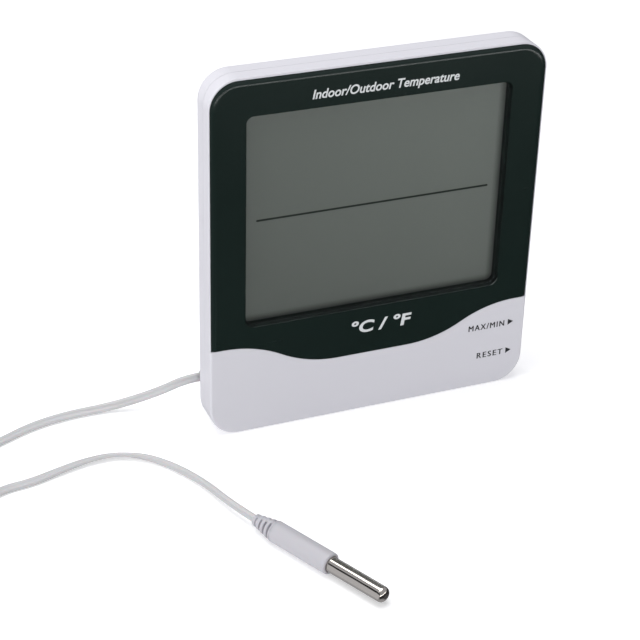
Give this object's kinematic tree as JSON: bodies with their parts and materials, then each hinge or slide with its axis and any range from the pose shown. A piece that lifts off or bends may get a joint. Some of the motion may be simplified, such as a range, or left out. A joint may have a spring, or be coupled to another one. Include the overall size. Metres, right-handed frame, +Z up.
{
  "type": "maximum minimum thermometer",
  "caption": "Free-standing digital indoor and outdoor thermometer with a fold-out stand, side buttons and a metal-tipped sensor probe on a thin lead.",
  "frame": {"origin": "middle of the flat base that the case stands on", "axes": "+Z up, the display faces -Y, +X to the viewer's right"},
  "size_m": [0.2342, 0.1135, 0.11],
  "materials": {
    "white_plastic": "satin moulded",
    "green_plastic": "satin moulded",
    "clear_window": "polished clear acrylic",
    "display_film": "matt grey polariser",
    "display_glass": "polished",
    "reflector": "silvered matt film",
    "contact_rubber": "matt",
    "inner_plastic": "as moulded",
    "circuit_laminate": "solder mask",
    "switch_body": "as moulded",
    "switch_plunger": "as moulded",
    "chip_resin": "cast resin",
    "bright_metal": "bright plated",
    "chip_parts": "ceramic",
    "steel": "zinc plated",
    "cell_jacket": "printed sleeve without lettering",
    "spring_steel": "nickel plated",
    "red_wire": "PVC",
    "black_wire": "PVC",
    "grommet": "satin",
    "lead_jacket": "soft PVC",
    "tie_plastic": "nylon",
    "grip_plastic": "moulded PVC",
    "probe_metal": "nickel plated brass",
    "potting": "epoxy"
  },
  "bodies": {
    "root": {"front_case": "white_plastic", "rear_case": "white_plastic", "bezel": "green_plastic", "window_lens": "clear_window", "lcd_front_polariser": "display_film", "lcd_front_glass": "display_glass", "lcd_rear_glass": "display_glass", "lcd_reflector": "reflector", "connector_strip_top": "contact_rubber", "connector_strip_bottom": "contact_rubber", "lcd_holder": "inner_plastic", "circuit_board": "circuit_laminate", "push_switches": "switch_body", "unit_switch_body": "switch_body", "chip_cover": "chip_resin", "timing_crystal": "bright_metal", "capacitors": "chip_parts", "resistors": "chip_parts", "indoor_sensor": "chip_resin", "board_screws": "steel", "case_screws": "steel", "battery_cell": "cell_jacket", "battery_plate": "spring_steel", "battery_spring": "spring_steel", "battery_wire_plus": "red_wire", "battery_wire_minus": "black_wire", "lead_gland": "grommet", "lead_inner": "lead_jacket", "lead_out": "lead_jacket", "lead_back": "lead_jacket", "lead_coil": "lead_jacket", "lead_tie": "tie_plastic", "probe_grip": "grip_plastic", "probe_sheath": "probe_metal", "probe_bead": "chip_resin", "probe_filling": "potting"},
    "stand": {"stand_leg": "white_plastic"},
    "battery_lid": {"battery_door": "white_plastic"},
    "maxmin_key": {"button_maxmin": "white_plastic", "plunger_maxmin": "switch_plunger"},
    "reset_key": {"button_reset": "white_plastic", "plunger_reset": "switch_plunger"},
    "unit_selector": {"unit_switch_slider": "white_plastic"}
  },
  "joints": [
    {"name": "stand_hinge", "type": "hinge", "parent": "root", "child": "stand", "pos_m": [0, 0.0087, 0.062], "axis": [1, 0, 0], "range_deg": [0, 35]},
    {"name": "battery_lid_hinge", "type": "hinge", "parent": "root", "child": "battery_lid", "pos_m": [0, 0.009, 0.0731], "axis": [-1, 0, 0], "range_deg": [0, 90]},
    {"name": "maxmin_press", "type": "slide", "parent": "root", "child": "maxmin_key", "axis": [-1, 0, 0], "range_m": [0, 0.0005], "stiffness_N_per_m": 800, "springref_m": -0.0003},
    {"name": "reset_press", "type": "slide", "parent": "root", "child": "reset_key", "axis": [-1, 0, 0], "range_m": [0, 0.0005], "stiffness_N_per_m": 800, "springref_m": -0.0003},
    {"name": "unit_slide", "type": "slide", "parent": "root", "child": "unit_selector", "axis": [0, 0, 1], "range_m": [0, 0.0025]}
  ]
}
